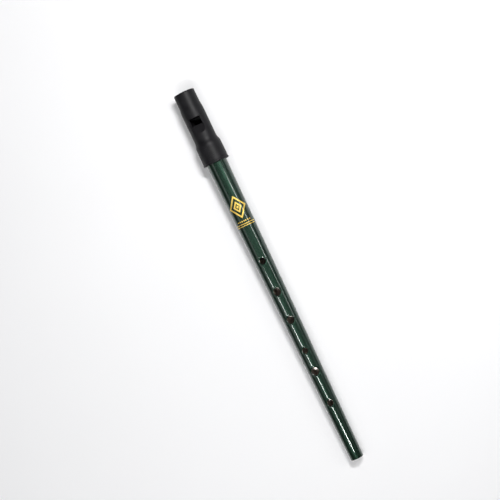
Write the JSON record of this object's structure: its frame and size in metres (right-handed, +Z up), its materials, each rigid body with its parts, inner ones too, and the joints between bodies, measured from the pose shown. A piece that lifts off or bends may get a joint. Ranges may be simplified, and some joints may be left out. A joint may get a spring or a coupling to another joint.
{
  "type": "tin whistle",
  "caption": "Straight end-blown whistle: a black moulded mouthpiece head slides on a conical green lacquered metal tube with finger holes along its front.",
  "frame": {"origin": "below the middle of the whistle's length, level with the lowest point of the head's rim, as the whistle lies on its back", "axes": "+X along the tube's axis towards the foot, +Z up through the window and the finger holes, +Y to the player's left as they blow with the holes facing away"},
  "size_m": [0.29, 0.0194, 0.0195],
  "materials": {
    "head_plastic": "satin black moulded ABS with a fine grain",
    "green_tinplate": "dark green metallic lacquer, glossy, on tinplate that is bare inside",
    "solder": "dull tin solder under thin lacquer",
    "gold_ink": "gold printing ink"
  },
  "bodies": {
    "tube": {"tube": "green_tinplate", "seam_solder": "solder", "gold_print": "gold_ink"},
    "head": {"head_shell": "head_plastic", "windway_block": "head_plastic"}
  },
  "joints": [
    {"name": "tuning_slide", "type": "slide", "parent": "tube", "child": "head", "axis": [-1, 0, 0], "range_m": [0, 0.008]}
  ]
}
